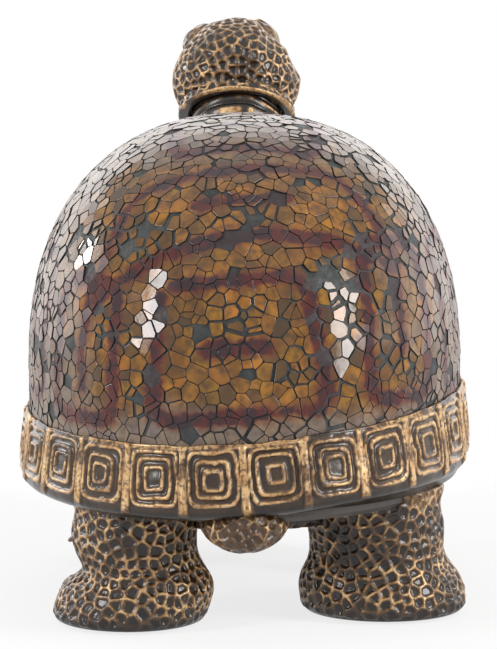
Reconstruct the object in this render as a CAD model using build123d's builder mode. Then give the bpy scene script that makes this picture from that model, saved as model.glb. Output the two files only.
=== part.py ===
"""A walking tortoise figurine: cast resin body, and a domed shell covered in crackled glass.

Millimetres, +Z up. The tortoise faces +Y and stands on four felt pads at Z = 0.
Every piece is built around the shell's upright axis, and all are then moved along Y together,
so that the origin lies on the floor under the middle of the whole figurine.
"""
import math
import os

import numpy as np
from build123d import *

# Shell: an oval in plan, a tall dome from the side
glass_half_width = 96.0      # shell axis to the outside of the glass
plan_ratio = 1.274           # length over width of every oval of the shell
crown_rise = 110.0           # widest level of the dome up to the crown
skirt_rise = 21.0            # ledge of the rim up to the widest level
dome_power = 2.3             # 2 would be an ellipse, more is squarer
glass_thickness = 2.0
glass_pitch = 16.5           # middle to middle of two neighbouring pieces of glass
glass_joint = 1.3            # grout line between two pieces of glass
glass_jitter = 0.26          # wander of a piece from its even place, over its pitch
glass_seed = 7
neighbour_reach = 3          # pitches within which pieces can touch
grout_thickness = 1.2
core_wall = 5.0
bond_line = 0.1              # adhesive film between two bonded curved faces
curve_points = 9             # points of the dome's curve
seat_steps = 181             # steps in which distances along the dome are measured

# Rim: a ring of carved marginal scutes around the foot of the dome
rim_underside = 58.0         # floor to the underside of the rim
rim_height = 30.0
lip_rise = 4.0               # upper lip above the ledge that carries the dome
lip_gap = 0.8                # glass to lip
lip_thickness = 2.4
ledge_width = 14.0
rim_bevel_in = 5.5
rim_bevel_up = 6.0
lip_bevel = 1.5
scute_count = 24
scute_height = 20.5
scute_gap = 3.4              # groove between two scutes
scute_steps = 2              # each scute is carved in steps that rise towards its middle
scute_border = 4.6           # width of a step
step_rise = 0.7
scute_root = 2.0             # depth to which a scute reaches into the ring

# Underside: a pan that closes the shell, and the belly plate below it
pan_thickness = 6.0
pan_flange = 6.5             # overlap of the pan under the rim
pan_edge = 2.0
spigot_rise = 4.0
spigot_wall = 4.0
fit_gap = 0.3                # between loose fitting curved faces
boss_radius = 8.0
boss_rise = 12.0
plastron_side_inset = 20.8   # inside of the rim to the belly plate, at the flank and at the ends
plastron_end_inset = 26.5
plastron_depth = 10.0
plastron_edge = 4.0
plug_radius = 8.0
plug_flange = 3.0
plug_flange_depth = 2.0

# Dowels that pin the limbs to the pan and the head to the neck
dowel_radius = 4.0
dowel_gap = 0.1
leg_dowel_depth = 22.0
neck_dowel_depth = 16.0
head_dowel_depth = 18.0
tail_dowel_radius = 2.5
tail_dowel_depth = 7.0
dowel_inset = 0.86           # dowel's distance from the shell axis over the hip's

# Legs: stout columns on broad feet, in a walking stance; inset is from the rim's flank and end to the hip,
# and sway is how far the ankle stands sideways of the line from the foot to the hip
felt_thickness = 1.2
felt_share = 0.62            # felt pad's size over the sole's
sole_share = 0.95            # sole's size over the foot's
sway_level = 0.66            # share of the leg's height below which it sways
leg_gap = 0.6                # leg to belly plate
legs = {
    "hind_left_leg": {"corner": (-1, -1), "inset": (52.7, 64.2), "step": (-3.0, 3.0), "sway": 4.0,
                      "shank": (53.0, 57.0), "tread": (66.5, 69.0), "turn": 14.0, "toes": 4},
    "hind_right_leg": {"corner": (1, -1), "inset": (43.2, 81.2), "step": (5.0, 6.0), "sway": -1.5,
                       "shank": (57.0, 56.0), "tread": (71.0, 67.0), "turn": -22.0, "toes": 4},
    "fore_left_leg": {"corner": (-1, 1), "inset": (49.2, 58.2), "step": (-2.0, 6.0), "sway": 2.0,
                      "shank": (48.0, 46.0), "tread": (55.0, 60.0), "turn": 10.0, "toes": 5},
    "fore_right_leg": {"corner": (1, 1), "inset": (41.2, 68.2), "step": (2.0, -2.0), "sway": -2.0,
                       "shank": (49.0, 46.0), "tread": (56.0, 60.0), "turn": -10.0, "toes": 5},
}
foot_girths = [(0.0, sole_share), (0.06, 1.0), (0.17, 1.0), (0.29, 0.94)]    # level, share of the tread
shank_girths = [(0.42, 1.03), (0.56, 1.0), (0.75, 1.02), (0.9, 1.04), (1.0, 1.06)]   # share of the shank
toe_radius = 7.5
toe_lift = 0.8               # toes above the sole
toe_spread = 27.0            # degrees between two toes
toe_reach = 0.84             # toe's middle out from the foot's, over the foot's half size
claw_radius = 3.4
claw_tip_radius = 0.9
claw_length = 9.0
claw_droop = 25.0            # degrees below level

# Head
head_offset = -4.0           # the head is held a little to the tortoise's left
head_roll = 5.0              # degrees that it leans over to that side
head_overhang = 15.0         # back of the skull behind the neck's end
head_axis_height = 219.0     # floor to the middle of the skull
head_length = 80.0
head_width = 61.0
head_height = 55.0
head_sections = [            # share of the length, lift, share of the width, share of the height
    (0.0, 0.05, 0.46, 0.42), (0.08, 0.03, 0.80, 0.74), (0.23, 0.0, 1.0, 0.96), (0.42, 0.01, 0.96, 1.0),
    (0.60, 0.01, 0.84, 0.93), (0.77, -0.03, 0.67, 0.76), (0.91, -0.08, 0.46, 0.52), (1.0, -0.13, 0.22, 0.26)]
brow_radius = 9.5
brow_place = (0.55, 15.5, 17.0)      # share of the length, sideways, up from the axis
eye_radius = 5.2
eye_place = (0.64, 20.0, 6.5)
hood_wall = 6.0              # hood of skin behind the skull, around the neck
hood_depth = 8.5
hood_gap = 1.2               # hood to neck

# Neck: from the chest forward under the rim, then up, leaning forward where it meets the head
neck_radius = 21.5
neck_lean = 35.0             # degrees forward of upright at the head
neck_room = 8.7              # front of the rim to the back of the neck
neck_entry = 14.0            # neck's end below the middle of the skull
neck_collar = 12.0           # straight length that enters the head
neck_stations = [            # share of the way back to the chest, share of the rise, degrees above level
    (0.63, 0.0, 2), (0.26, 0.065, 40), (0.054, 0.21, 72), (0.0, 0.41, 88), (0.04, 0.66, 95), (0.10, 0.83, 84)]
chest_stations = 2           # stations that still have the chest's section
chest_half_width = 23.0
chest_half_height = 18.0
chest_inset = 44.2           # front of the rim to the chest's back
chest_offset = 3.5
neck_dowel_inset = 12.0      # chest's back to the dowel
chest_drop = 17.0            # chest's middle below the pan

# Tail: a short blunt cone under the back of the rim
tail_inset = 46.2            # back of the rim to the tail's root
tail_tip_inset = 3.2
tail_half_width = 19.0
tail_half_height = 10.5
tail_drop = 2.0              # tail's middle below the pan
tail_tip_round = 2.5
tail_sections = [            # share of the length, share of the width, share of the height
    (0.0, 1.0, 0.8), (0.35, 0.98, 1.0), (0.62, 0.92, 1.0), (0.84, 0.74, 0.92), (1.0, 0.46, 0.62)]
tail_dowel_inset = 10.0      # tail's root to the dowel


# Places that follow from the sizes above
lip_inner = glass_half_width + lip_gap
rim_face = lip_inner + lip_thickness
rim_inner = lip_inner - ledge_width
rim_top = rim_underside + rim_height
ledge_z = rim_top - lip_rise
widest_z = ledge_z + skirt_rise
pan_bottom = rim_underside - pan_thickness
pan_half_width = rim_inner + pan_flange
plastron_bottom = pan_bottom - plastron_depth
leg_height = rim_underside - felt_thickness
rim_reach = (rim_face + scute_steps * step_rise) * plan_ratio
for leg in legs.values():
    leg["hip"] = (
        leg["corner"][0] * (rim_face - leg["inset"][0]), leg["corner"][1] * (rim_reach - leg["inset"][1]))
    leg["foot"] = (leg["hip"][0] + leg["step"][0], leg["hip"][1] + leg["step"][1])
dowel_points = [(x * dowel_inset, y * dowel_inset) for x, y in (leg["hip"] for leg in legs.values())]
plastron_half_width = rim_inner - plastron_side_inset
plastron_half_length = rim_inner * plan_ratio - plastron_end_inset
chest_z = pan_bottom - chest_drop
chest_start = rim_reach - chest_inset
tail_start = tail_inset - rim_reach
tail_tip = tail_tip_inset - rim_reach
neck_front = rim_reach + neck_room + neck_radius
neck_end = (head_offset, neck_front, head_axis_height - neck_entry)
head_back = neck_front - head_overhang
neck_dowel_point = (chest_offset, chest_start + neck_dowel_inset)
tail_dowel_point = (0.0, tail_start - tail_dowel_inset)
centre_shift = (rim_reach - head_back - head_length) / 2
pieces = {}


def dome_curve(depth):
    """Radius and height along the dome from its widest level to the crown, a depth below the glass."""
    turn = np.linspace(0, math.pi / 2, curve_points)
    radius = (glass_half_width - depth) * np.cos(turn) ** (2 / dome_power)
    height = widest_z + (crown_rise - depth) * np.sin(turn) ** (2 / dome_power)
    radius[-1] = 0
    return [(float(r), float(z)) for r, z in zip(radius, height)]


def dome_shell(outer_depth, inner_depth):
    """A closed layer of the dome between two depths below the glass, standing on the rim's ledge."""
    outer = dome_curve(outer_depth)
    inner = dome_curve(inner_depth)
    upright, level = (0, 1), (-1, 0)
    with BuildPart() as layer:
        with BuildSketch(Plane.XZ):
            with BuildLine():
                Line((outer[0][0], ledge_z), outer[0])
                Spline(*outer, tangents=[upright, level])
                Line(outer[-1], inner[-1])
                Spline(*inner, tangents=[upright, level])
                Line(inner[0], (inner[0][0], ledge_z))
                Line((inner[0][0], ledge_z), (outer[0][0], ledge_z))
            make_face()
        revolve(axis=Axis.Z)
        scale(by=(1, plan_ratio, 1))
    return layer.part


# Dome core and the grout bed on it
grout_depth = glass_thickness + bond_line
core_depth = grout_depth + grout_thickness + bond_line
pieces["shell_dome"] = dome_shell(core_depth, core_depth + core_wall)
pieces["grout_bed"] = dome_shell(grout_depth, grout_depth + grout_thickness)


# Glass: flat pieces laid in staggered courses, each cut back from its neighbours by the joint
def seat_point(share, angle):
    """A point on the grout bed, and the outward normal there; share runs from the ledge to the crown."""
    width = glass_half_width - grout_depth + bond_line
    rise = crown_rise - grout_depth + bond_line
    turn = np.linspace(0, math.pi / 2, seat_steps)
    radii = np.append(width, width * np.cos(turn) ** (2 / dome_power))
    levels = np.append(-skirt_rise, rise * np.sin(turn) ** (2 / dome_power))
    along = np.append(0, np.cumsum(np.hypot(np.diff(radii), np.diff(levels))))
    radius = np.interp(share * along[-1], along, radii)
    level = np.interp(share * along[-1], along, levels)
    spot = np.array([radius * math.cos(angle), radius * math.sin(angle) * plan_ratio, level])
    flank = (radius / width) ** (dome_power - 1) / width
    normal = np.array([
        flank * math.cos(angle),
        flank * math.sin(angle) / plan_ratio,
        (max(level, 0) / rise) ** (dome_power - 1) / rise])
    return spot + np.array([0, 0, widest_z]), normal / np.linalg.norm(normal), along[-1]


def glass_seats():
    """Seats of all pieces of glass, course by course from the ledge to the crown."""
    chance = np.random.default_rng(glass_seed)
    profile_length = seat_point(0, 0)[2]
    courses = round(profile_length / glass_pitch)
    seats = []
    for course in range(courses):
        middle = (course + 0.5) / courses
        radius = seat_point(middle, 0)[0][0]
        count = max(1, round(math.pi * radius * (1 + plan_ratio) / glass_pitch))
        for place in range(count):
            step = place + 0.5 * (course % 2) + chance.uniform(-glass_jitter, glass_jitter)
            share = middle + chance.uniform(-glass_jitter, glass_jitter) / courses
            seats.append(seat_point(share, 2 * math.pi * step / count)[:2])
    return seats


def cut_back(outline, direction, limit):
    """The part of a convex outline whose reach along a direction stays within the limit."""
    kept = []
    for here, there in zip(outline, outline[1:] + outline[:1]):
        reach_here = here @ direction - limit
        reach_there = there @ direction - limit
        if reach_here <= 0:
            kept.append(here)
        if reach_here * reach_there < 0:
            kept.append(here + (there - here) * reach_here / (reach_here - reach_there))
    return kept


def glass_outline(seat, neighbours):
    """The seat's plane, and the outline of its glass on that plane."""
    spot, normal = seat
    plane = Plane(origin=tuple(spot), z_dir=tuple(normal))
    across = np.array(tuple(plane.x_dir))
    along = np.array(tuple(plane.y_dir))
    outline = [np.array(corner) * glass_pitch for corner in ((-1, -1), (1, -1), (1, 1), (-1, 1))]
    for other in neighbours:
        way = np.array([(other - spot) @ across, (other - spot) @ along])
        span = np.linalg.norm(way)
        outline = cut_back(outline, way / span, (span - glass_joint) / 2)
    down = np.array([-across[2], -along[2]])
    fall = np.linalg.norm(down)
    outline = cut_back(outline, down / fall, (spot[2] - ledge_z - glass_joint) / fall)
    return plane, outline


# Middles of the thirteen large scutes of the shell, as angle from the tail and share up the dome
scute_rows = {
    "glass_vertebral_1": (180, 0.27), "glass_vertebral_2": (180, 0.66), "glass_vertebral_3": (0, 1.0),
    "glass_vertebral_4": (0, 0.66), "glass_vertebral_5": (0, 0.27)}
costal_angles = (143, 110, 70, 37)
costal_share = 0.34
for number, turn in enumerate(costal_angles, start=1):
    scute_rows[f"glass_costal_left_{number}"] = (-turn, costal_share)
    scute_rows[f"glass_costal_right_{number}"] = (turn, costal_share)

scute_middles = np.array([
    seat_point(share, math.radians(turn - 90))[0] for turn, share in scute_rows.values()])
seats = glass_seats()
spots = np.array([spot for spot, normal in seats])
scute_of_seat = [int(np.argmin(np.linalg.norm(scute_middles - spot, axis=1))) for spot in spots]

for row, name in enumerate(scute_rows):
    with BuildPart() as scute:
        for number, seat in enumerate(seats):
            if scute_of_seat[number] != row:
                continue
            reach = np.linalg.norm(spots - seat[0], axis=1)
            near = spots[(reach > 0) & (reach < neighbour_reach * glass_pitch)]
            seat_plane, outline = glass_outline(seat, near)
            with BuildSketch(seat_plane):
                Polygon(*[tuple(corner) for corner in outline], align=None)
        extrude(amount=glass_thickness, clean=False)
    pieces[name] = scute.part


# Rim: built round, carved, then drawn out to the oval
def rim_plane(turn):
    """Upright plane just inside the rim's face, at a turn around the ring and at the scutes' middle."""
    out = (math.cos(turn), math.sin(turn), 0)
    radius = rim_face - scute_root
    return Plane(
        origin=(radius * out[0], radius * out[1], scute_middle), x_dir=(-out[1], out[0], 0), z_dir=out)


scute_turn = 2 * math.pi / scute_count
scute_width = rim_face * scute_turn - scute_gap
scute_foot = rim_underside + rim_bevel_up
scute_middle = (scute_foot + rim_top - lip_bevel) / 2
with BuildPart() as shell_rim:
    with BuildSketch(Plane.XZ):
        with BuildLine():
            Polyline(
                (rim_inner, rim_underside), (rim_face - rim_bevel_in, rim_underside), (rim_face, scute_foot),
                (rim_face, rim_top - lip_bevel), (rim_face - lip_bevel, rim_top), (lip_inner, rim_top),
                (lip_inner, ledge_z), (rim_inner, ledge_z), close=True)
        make_face()
    revolve(axis=Axis.Z)
    for step in range(scute_steps):
        inset = 2 * step * scute_border
        for number in range(scute_count):
            with BuildSketch(rim_plane((number + 0.5) * scute_turn)):
                Rectangle(scute_width - inset, scute_height - inset)
        extrude(amount=scute_root + (step + 1) * step_rise)
    scale(by=(1, plan_ratio, 1))
pieces["shell_rim"] = shell_rim.part


# Pan: closes the shell from below, with a spigot inside the rim and a boss for every dowel
limb_points = dowel_points + [neck_dowel_point]
with BuildPart() as body_pan:
    with BuildSketch(Plane.XY.offset(pan_bottom)):
        Ellipse(pan_half_width, pan_half_width * plan_ratio)
    extrude(amount=pan_thickness)
    chamfer(body_pan.faces().sort_by(Axis.Z)[0].edges(), length=pan_edge)
    with BuildSketch(Plane.XY.offset(rim_underside)):
        Ellipse(rim_inner - fit_gap, (rim_inner - fit_gap) * plan_ratio)
        spigot_inner = rim_inner - fit_gap - spigot_wall
        Ellipse(spigot_inner, spigot_inner * plan_ratio, mode=Mode.SUBTRACT)
    extrude(amount=spigot_rise)
    with BuildSketch(Plane.XY.offset(rim_underside)):
        with Locations(*limb_points, tail_dowel_point):
            Circle(boss_radius)
    extrude(amount=boss_rise)
    with BuildSketch(Plane.XY.offset(pan_bottom)):
        with Locations(*limb_points):
            Circle(dowel_radius + dowel_gap)
        with Locations(tail_dowel_point):
            Circle(tail_dowel_radius + dowel_gap)
    extrude(amount=pan_thickness + boss_rise, mode=Mode.SUBTRACT)
    with BuildSketch(Plane.XY.offset(pan_bottom)):
        Circle(plug_radius + dowel_gap)
    extrude(amount=pan_thickness, mode=Mode.SUBTRACT)
pieces["body_pan"] = body_pan.part


# Legs
def leg_column(leg, grow=0.0):
    """A leg from its sole up to the rim, without toes, and grown outward by a margin."""
    sizes = [(level, share, leg["tread"]) for level, share in foot_girths]
    sizes += [(level, share, leg["shank"]) for level, share in shank_girths]
    with BuildPart() as column:
        for level, share, (width, depth) in sizes:
            ease = level * level * (3 - 2 * level)
            bend = math.sin(math.pi * min(level / sway_level, 1)) ** 2
            middle_x = leg["foot"][0] + (leg["hip"][0] - leg["foot"][0]) * ease + leg["sway"] * bend
            middle_y = leg["foot"][1] + (leg["hip"][1] - leg["foot"][1]) * ease
            with BuildSketch(Plane.XY.offset(felt_thickness + level * leg_height)):
                with Locations((middle_x, middle_y)):
                    Ellipse(share * width / 2 + grow, share * depth / 2 + grow)
        loft()
    return column.part


def toe_planes(leg, reach):
    """A plane at each toe, its normal pointing out along the toe and a little down."""
    for number in range(leg["toes"]):
        turn = math.radians(leg["turn"] + toe_spread * (number - (leg["toes"] - 1) / 2))
        out = (-math.sin(turn), math.cos(turn))
        half_width, half_depth = leg["tread"][0] / 2, leg["tread"][1] / 2
        spot_x = leg["foot"][0] + out[0] * (half_width * toe_reach + reach)
        spot_y = leg["foot"][1] + out[1] * (half_depth * toe_reach + reach)
        droop = math.radians(claw_droop)
        yield Plane(
            origin=(spot_x, spot_y, felt_thickness + toe_lift + toe_radius),
            z_dir=(out[0] * math.cos(droop), out[1] * math.cos(droop), -math.sin(droop)))


for name, leg in legs.items():
    column = leg_column(leg)
    with BuildPart() as limb:
        add(column)
        add(body_pan.part, mode=Mode.SUBTRACT)
        with Locations(*toe_planes(leg, 0)):
            Sphere(toe_radius)
        with Locations(*toe_planes(leg, toe_radius / 2)):
            Cone(claw_radius, claw_tip_radius, claw_length, align=(Align.CENTER, Align.CENTER, Align.MIN))
        dowel_x, dowel_y = (place * dowel_inset for place in leg["hip"])
        with BuildSketch(Plane.XY.offset(rim_underside)):
            with Locations((dowel_x, dowel_y)):
                Circle(dowel_radius + dowel_gap)
        extrude(amount=-leg_dowel_depth - pan_thickness, mode=Mode.SUBTRACT)
    pieces[name] = limb.part

with BuildPart() as felt_pads:
    for leg in legs.values():
        with BuildSketch(Plane.XY):
            with Locations(leg["foot"]):
                pad_share = sole_share * felt_share / 2
                Ellipse(leg["tread"][0] * pad_share, leg["tread"][1] * pad_share)
    extrude(amount=felt_thickness)
pieces["felt_pads"] = felt_pads.part


# Belly plate, cut clear of the legs, with a counterbore for the plug of the casting hole
leg_spaces = [leg_column(leg, leg_gap) for leg in legs.values()]
with BuildPart() as plastron:
    with BuildSketch(Plane.XY.offset(plastron_bottom)):
        Ellipse(plastron_half_width, plastron_half_length)
    extrude(amount=plastron_depth)
    fillet(plastron.faces().sort_by(Axis.Z)[0].edges(), radius=plastron_edge)
    add(leg_spaces, mode=Mode.SUBTRACT)
    with BuildSketch(Plane.XY.offset(plastron_bottom)):
        Circle(plug_radius + dowel_gap)
    extrude(amount=plastron_depth, mode=Mode.SUBTRACT)
    with BuildSketch(Plane.XY.offset(plastron_bottom)):
        Circle(plug_radius + plug_flange + dowel_gap)
    extrude(amount=plug_flange_depth, mode=Mode.SUBTRACT)
pieces["plastron"] = plastron.part

with BuildPart() as pour_plug:
    with BuildSketch(Plane.XY.offset(plastron_bottom)):
        Circle(plug_radius + plug_flange)
    extrude(amount=plug_flange_depth)
    with BuildSketch(Plane.XY.offset(plastron_bottom)):
        Circle(plug_radius)
    extrude(amount=plastron_depth + pan_thickness)
pieces["pour_plug"] = pour_plug.part


# Neck: cross-sections along a path that leaves the chest level and ends leaning into the head
lean = math.radians(neck_lean)
neck_way = (0, math.sin(lean), math.cos(lean))
collar_start = tuple(end - neck_collar * way for end, way in zip(neck_end, neck_way))
neck_path = [((chest_offset, chest_start, chest_z), 0, chest_half_width, chest_half_height)]
for number, (back, rise, climb) in enumerate(neck_stations):
    middle = (
        chest_offset + rise * (neck_end[0] - chest_offset),
        neck_front - back * (neck_front - chest_start),
        chest_z + rise * (neck_end[2] - chest_z))
    girth = (chest_half_width, chest_half_height) if number < chest_stations else (neck_radius, neck_radius)
    neck_path.append((middle, climb, *girth))
for middle in (collar_start, neck_end):
    neck_path.append((middle, 90 - neck_lean, neck_radius, neck_radius))

with BuildPart() as neck:
    for middle, climb, half_width, half_height in neck_path:
        way = (0, math.cos(math.radians(climb)), math.sin(math.radians(climb)))
        with BuildSketch(Plane(origin=middle, x_dir=(1, 0, 0), z_dir=way)):
            Ellipse(half_width, half_height)
    loft()
    add(body_pan.part, mode=Mode.SUBTRACT)
    with BuildSketch(Plane.XY.offset(rim_underside)):
        with Locations(neck_dowel_point):
            Circle(dowel_radius + dowel_gap)
    extrude(amount=-neck_dowel_depth - pan_thickness, mode=Mode.SUBTRACT)
    with BuildSketch(Plane(origin=neck_end, x_dir=(1, 0, 0), z_dir=neck_way)):
        Circle(dowel_radius + dowel_gap)
    extrude(amount=-head_dowel_depth, mode=Mode.SUBTRACT)
pieces["neck"] = neck.part


# Head: the skull is lofted from back to beak, with brows, eye sockets and a hood that takes the neck
roll = math.radians(head_roll)


def head_spot(place, side):
    """A point of the leaning head from a share of its length, a distance sideways and one up."""
    share, sideways, up = place
    return (
        head_offset + side * sideways * math.cos(roll) - up * math.sin(roll),
        head_back + share * head_length,
        head_axis_height + side * sideways * math.sin(roll) + up * math.cos(roll))


def eye_location(side):
    """Place of an eye, turned so that the seam of its sphere lies inside the head."""
    return Location(head_spot(eye_place, side), (0, 0, 90 + 90 * side))


with BuildPart() as head:
    for share, lift, width_share, height_share in head_sections:
        origin = head_spot((share, 0, lift * head_height), 1)
        with BuildSketch(Plane(origin=origin, x_dir=(math.cos(roll), 0, math.sin(roll)), z_dir=(0, 1, 0))):
            Ellipse(head_width * width_share / 2, head_height * height_share / 2)
    loft()
    with Locations(head_spot(brow_place, -1), head_spot(brow_place, 1)):
        Sphere(brow_radius)
    with Locations(eye_location(-1), eye_location(1)):
        Sphere(eye_radius + dowel_gap, mode=Mode.SUBTRACT)
    with BuildSketch(Plane(origin=neck_end, x_dir=(1, 0, 0), z_dir=neck_way)):
        Circle(neck_radius + hood_wall)
    extrude(amount=-hood_depth)
    with BuildSketch(Plane(origin=neck_end, x_dir=(1, 0, 0), z_dir=neck_way)):
        Circle(neck_radius + hood_gap)
    extrude(amount=-head_height, mode=Mode.SUBTRACT)
    with BuildSketch(Plane(origin=neck_end, x_dir=(1, 0, 0), z_dir=neck_way)):
        Circle(dowel_radius + dowel_gap)
    extrude(amount=head_dowel_depth, mode=Mode.SUBTRACT)
pieces["head"] = head.part

for name, side in (("eye_left", -1), ("eye_right", 1)):
    with BuildPart() as eye:
        with Locations(eye_location(side)):
            Sphere(eye_radius)
    pieces[name] = eye.part


# Tail
tail_length = tail_start - tail_tip
tail_z = pan_bottom - tail_drop
with BuildPart() as tail:
    for share, width_share, height_share in tail_sections:
        origin = (0, tail_start - share * tail_length, tail_z)
        with BuildSketch(Plane(origin=origin, x_dir=(1, 0, 0), z_dir=(0, -1, 0))):
            Ellipse(tail_half_width * width_share, tail_half_height * height_share)
    loft()
    fillet(tail.faces().sort_by(Axis.Y)[0].edges(), radius=tail_tip_round)
    split(bisect_by=Plane.XY.offset(rim_underside), keep=Keep.BOTTOM)
    add(body_pan.part, mode=Mode.SUBTRACT)
    with BuildSketch(Plane.XY.offset(rim_underside)):
        with Locations(tail_dowel_point):
            Circle(tail_dowel_radius + dowel_gap)
    extrude(amount=-tail_dowel_depth - pan_thickness, mode=Mode.SUBTRACT)
pieces["tail"] = tail.part


# Dowels
with BuildPart() as leg_dowels:
    with BuildSketch(Plane.XY.offset(pan_bottom - leg_dowel_depth)):
        with Locations(*dowel_points):
            Circle(dowel_radius)
    extrude(amount=leg_dowel_depth + pan_thickness + boss_rise)
pieces["leg_dowels"] = leg_dowels.part

with BuildPart() as neck_dowel:
    with BuildSketch(Plane.XY.offset(pan_bottom - neck_dowel_depth)):
        with Locations(neck_dowel_point):
            Circle(dowel_radius)
    extrude(amount=neck_dowel_depth + pan_thickness + boss_rise)
pieces["neck_dowel"] = neck_dowel.part

with BuildPart() as head_dowel:
    with BuildSketch(Plane(origin=neck_end, x_dir=(1, 0, 0), z_dir=neck_way)):
        Circle(dowel_radius)
    extrude(amount=head_dowel_depth, both=True)
pieces["head_dowel"] = head_dowel.part

with BuildPart() as tail_dowel:
    with BuildSketch(Plane.XY.offset(pan_bottom - tail_dowel_depth)):
        with Locations(tail_dowel_point):
            Circle(tail_dowel_radius)
    extrude(amount=tail_dowel_depth + pan_thickness + boss_rise)
pieces["tail_dowel"] = tail_dowel.part


os.makedirs("parts", exist_ok=True)
for name, solid in pieces.items():
    placed = solid.moved(Location((0, centre_shift, 0)))
    placed.label = name
    export_step(placed, f"parts/{name}.step")
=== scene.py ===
"""Dresses the tortoise figurine: a shell of crackled glass in grout, a carved rim and gilded scaly resin.

Metres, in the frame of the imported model: +Z up, the tortoise faces +Y, the camera looks at its tail.
"""
import math
from itertools import product

import bmesh
import bpy
import numpy as np
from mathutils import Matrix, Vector
from mathutils.kdtree import KDTree


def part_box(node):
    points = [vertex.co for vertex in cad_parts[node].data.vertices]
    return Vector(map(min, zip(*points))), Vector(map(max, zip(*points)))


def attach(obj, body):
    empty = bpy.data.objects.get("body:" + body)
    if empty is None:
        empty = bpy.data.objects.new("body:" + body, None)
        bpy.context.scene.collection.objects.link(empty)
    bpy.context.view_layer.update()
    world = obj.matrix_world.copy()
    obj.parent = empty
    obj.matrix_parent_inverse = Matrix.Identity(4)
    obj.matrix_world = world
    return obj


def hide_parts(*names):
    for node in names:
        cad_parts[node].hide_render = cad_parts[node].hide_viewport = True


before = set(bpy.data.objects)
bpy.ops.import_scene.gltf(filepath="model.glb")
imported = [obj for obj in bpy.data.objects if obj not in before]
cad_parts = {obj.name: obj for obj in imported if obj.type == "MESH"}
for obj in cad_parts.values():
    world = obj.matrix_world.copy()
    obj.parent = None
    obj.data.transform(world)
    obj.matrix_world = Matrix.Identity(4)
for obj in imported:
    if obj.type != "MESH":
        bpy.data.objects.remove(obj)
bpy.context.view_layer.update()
scene = bpy.context.scene
MM = 0.001

# Dome of the shell, read from the grout bed that carries the glass
bed_low, bed_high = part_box("grout_bed")
GLASS_RISE = 2.1 * MM                 # outside of the glass above the bed
SHELL_Y = (bed_low.y + bed_high.y) / 2
PLAN_RATIO = (bed_high.y - bed_low.y) / (bed_high.x - bed_low.x)
DOME_HALF_WIDTH = bed_high.x + GLASS_RISE
DOME_POWER = 2.3
LEDGE_Z = bed_low.z
WIDEST_Z = LEDGE_Z + 21 * MM
DOME_RISE = bed_high.z + GLASS_RISE - WIDEST_Z

# Crackled glass: shards, which lie close together within a chunk
SHARD_PITCH = 4.2 * MM                # least distance between the middles of two shards, on average
CHUNK_PITCH = 12 * MM
DOME_SAMPLES = 30000                  # random places on the dome from which the middles are picked
CRACK = 0.17 * MM                     # between two shards of a chunk
JOINT = 3.4 * MM                      # widest joint between two chunks
SLACK = 3.0 * MM                      # where the shards lie loosely
SHARD_BEVEL = 0.16 * MM
SHARD_BEVEL_DROP = 0.12 * MM
SHARD_DEPTH = 1.6 * MM
SHARD_TILT = 0.024                    # radians
SHARD_SINK = 0.22 * MM
LOST_SHARDS = 0.055
LOST_IN_RINGS = 0.12                  # more are lost along the painted rings
GROUT_DEPTH = 0.55 * MM               # grout below the outside of the glass

# Painted rings of the scutes: turn from the tail, height, half width, half height, taper, lean, bar
RINGS = {
    "glass_vertebral_1": (180, 126, 33, 27, 0.14, 0, (15, 0)),
    "glass_vertebral_2": (180, 186, 52, 19, 0.20, 0, (18, 0)),
    "glass_vertebral_3": (0, 213, 30, 30, 0.0, 0, (12, 0)),
    "glass_vertebral_4": (-1, 186, 56, 19, 0.20, 7, (18, 0)),
    "glass_vertebral_5": (-2, 127, 34, 28, 0.11, 5, (13, 0)),
    "glass_costal_left_1": (-135, 130, 20, 31, 0.06, 0, (0, 15)),
    "glass_costal_left_2": (-104, 130, 20, 32, 0.06, 0, (0, 15)),
    "glass_costal_left_3": (-75, 128, 20, 31, 0.06, 0, (0, 15)),
    "glass_costal_left_4": (-46, 122, 20, 29, 0.06, 0, (0, 16)),
    "glass_costal_right_1": (135, 130, 20, 31, 0.06, 0, (0, 15)),
    "glass_costal_right_2": (104, 130, 20, 32, 0.06, 0, (0, 15)),
    "glass_costal_right_3": (75, 132, 20, 32, 0.06, 0, (0, 15)),
    "glass_costal_right_4": (45, 135, 20, 33, 0.06, -4, (0, 12)),
}

RING_CORNER = 9.0                     # millimetres, as is the half width
RING_HALF = 3.0

# Carved rim
rim_low, rim_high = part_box("shell_rim")
RIM_COLUMNS = 1080
RIM_SCUTES = 24
RIM_PROUD = 1.4 * MM                  # carving above the rim's plain face
RIM_FACE = rim_high.x - RIM_PROUD
RIM_INNER = RIM_FACE - 16.4 * MM
RIM_LIP = 2.4 * MM
SCUTE_LOW = rim_low.z + 6.2 * MM
SCUTE_HIGH = rim_high.z - 2.0 * MM
SCUTE_BAR = 0.17                      # share of a scute's pitch taken by the bar beside it
SCUTE_RINGS = (0.95, 0.64, 0.34)      # places of the carved ridges, over the scute's half size
RIDGE_HEIGHT = 1.1 * MM
RIM_LIFT_RIGHT = 9 * MM               # the rim's upper edge climbs on the right flank
RIM_LIFT_LEFT = -3.0 * MM
RIM_DROP_LEFT = 5.2 * MM              # and its lower edge hangs on the left flank
RIM_DROP_RIGHT = -2.4 * MM
RIM_SLANT = 1.8 * MM                  # its face leans in towards the top

# Feet: middle measured from the shell's axis, and half size
FEET = {
    "hind_left_leg": ((-49.5, -61.0), (33.3, 34.5)),
    "hind_right_leg": ((61.0, -41.0), (35.5, 33.5)),
    "fore_left_leg": ((-52.0, 76.0), (27.5, 30.0)),
    "fore_right_leg": ((60.0, 58.0), (28.0, 30.0)),
}

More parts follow.
